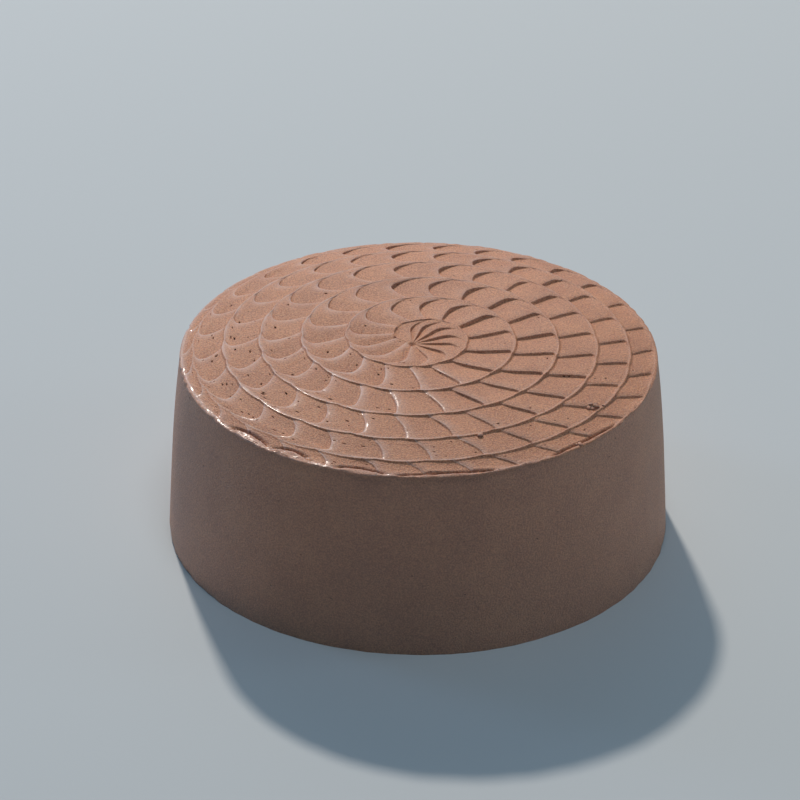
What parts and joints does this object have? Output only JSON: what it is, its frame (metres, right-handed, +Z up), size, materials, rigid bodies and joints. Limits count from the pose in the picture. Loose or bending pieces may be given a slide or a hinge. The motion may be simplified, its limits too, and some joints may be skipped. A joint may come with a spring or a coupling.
{
  "type": "layer cake",
  "caption": "Round uncut layer cake covered in pale chocolate buttercream, its domed top worked into a spiral of overlapping spatula dabs.",
  "frame": {"origin": "middle of the flat underside, where the cake rests", "axes": "+Z up through the middle of the cake; the view shown in the picture looks along +Y; the spiral starts towards -X"},
  "size_m": [0.214, 0.214, 0.0904],
  "materials": {
    "icing": "soft satin buttercream, pale milk chocolate brown"
  },
  "bodies": {
    "root": {"cake": "icing"}
  },
  "joints": []
}
